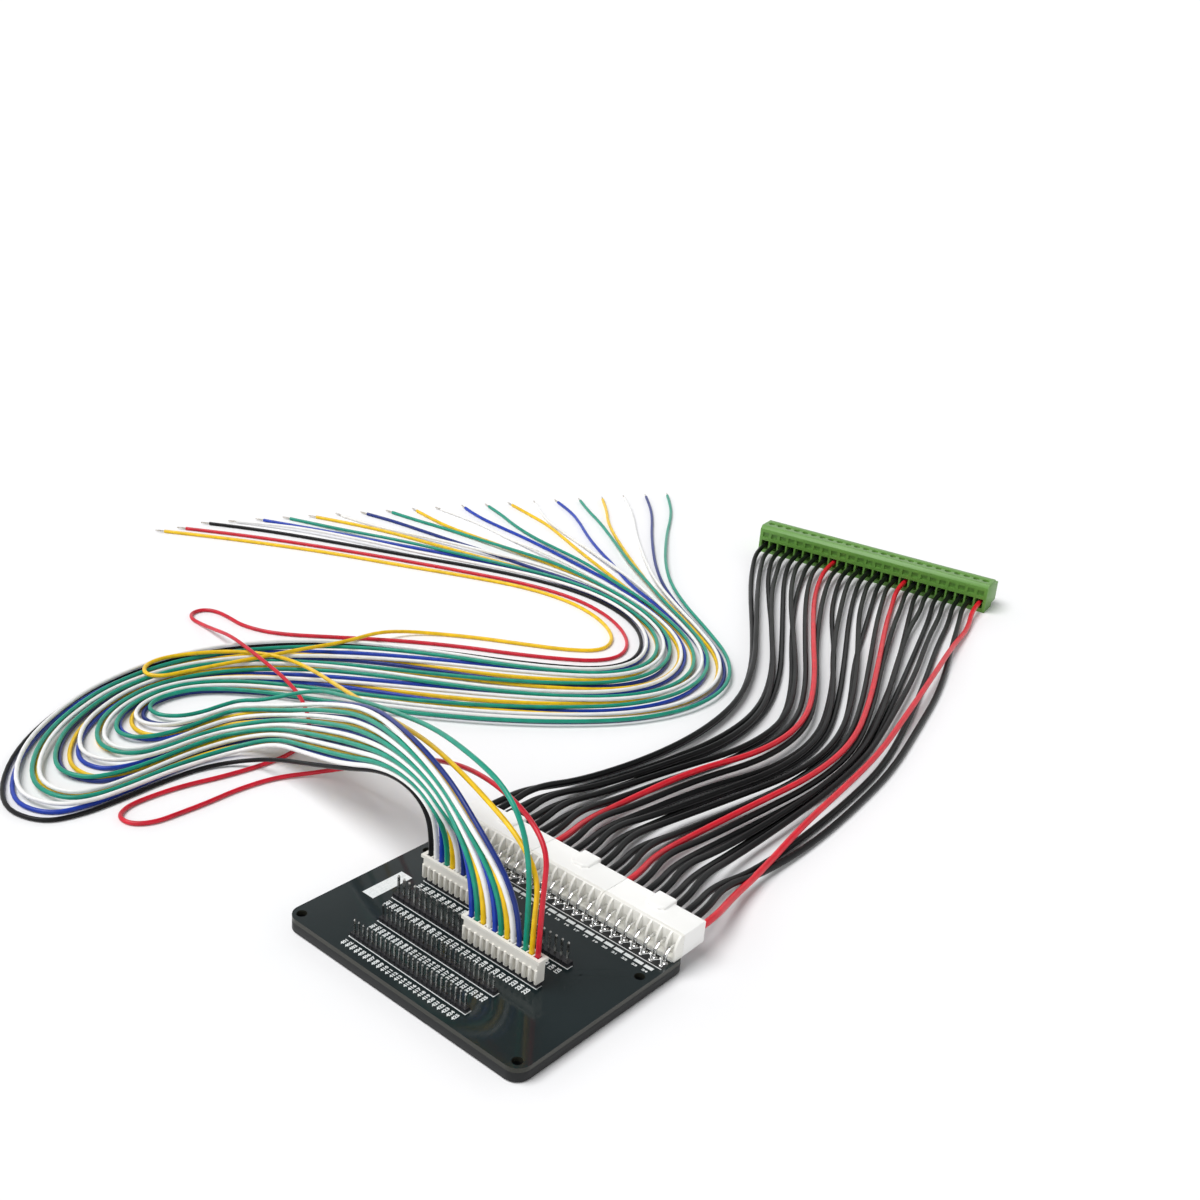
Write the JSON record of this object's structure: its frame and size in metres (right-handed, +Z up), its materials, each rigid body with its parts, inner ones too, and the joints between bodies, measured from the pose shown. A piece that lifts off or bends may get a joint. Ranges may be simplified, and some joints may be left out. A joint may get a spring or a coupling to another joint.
{
  "type": "battery balancer lead board",
  "caption": "Small circuit board on a black base with pin strips, two small plugs with thin coloured leads, and three right-angle power connectors whose thick leads end in a long terminal plug.",
  "frame": {"origin": "middle of the four fixing holes, on the underside of the base", "axes": "+X along the pin rows, +Y towards the power connectors on the back edge, +Z up from the base"},
  "size_m": [0.4145, 0.4694, 0.0625],
  "materials": {
    "base": "satin black",
    "board": "slate grey solder mask",
    "strip": "black moulding",
    "pin": "tinned",
    "small_plug": "ivory moulding",
    "power_plug": "white moulding",
    "power_header": "translucent ivory moulding",
    "terminal": "green moulding",
    "screw": "plated",
    "wire_black": "soft insulation",
    "wire_red": "soft insulation",
    "wire_white": "soft insulation",
    "wire_blue": "soft insulation",
    "wire_navy": "soft insulation",
    "wire_green": "soft insulation",
    "wire_yellow": "soft insulation"
  },
  "bodies": {
    "root": {"back_plug": "small_plug", "base_plate": "base", "black_leads_left": "wire_black", "black_leads_middle": "wire_black", "black_leads_right": "wire_black", "circuit_board": "board", "front_plug": "small_plug", "pin_strip_a": "strip", "pin_strip_b": "strip", "pin_strip_c": "strip", "pin_strip_d": "strip", "pins_a": "pin", "pins_b": "pin", "pins_c": "pin", "pins_d": "pin", "power_header_left": "power_header", "power_header_middle": "power_header", "power_header_right": "power_header", "power_pins_left": "pin", "power_pins_middle": "pin", "power_pins_right": "pin", "power_plug_left": "power_plug", "power_plug_middle": "power_plug", "power_plug_right": "power_plug", "red_lead_left": "wire_red", "red_lead_middle": "wire_red", "red_lead_right": "wire_red", "signal_wire_01_black": "wire_black", "signal_wire_02_white": "wire_white", "signal_wire_03_blue": "wire_blue", "signal_wire_04_green": "wire_green", "signal_wire_05_yellow": "wire_yellow", "signal_wire_06_white": "wire_white", "signal_wire_07_navy": "wire_navy", "signal_wire_08_green": "wire_green", "signal_wire_09_yellow": "wire_yellow", "signal_wire_10_white": "wire_white", "signal_wire_11_blue": "wire_blue", "signal_wire_12_green": "wire_green", "signal_wire_13_yellow": "wire_yellow", "signal_wire_14_white": "wire_white", "signal_wire_15_blue": "wire_blue", "signal_wire_16_green": "wire_green", "signal_wire_17_yellow": "wire_yellow", "signal_wire_18_white": "wire_white", "signal_wire_19_navy": "wire_navy", "signal_wire_20_green": "wire_green", "signal_wire_21_yellow": "wire_yellow", "signal_wire_22_red": "wire_red", "terminal_clamps": "screw", "terminal_plug": "terminal", "terminal_screws": "screw"}
  },
  "joints": []
}
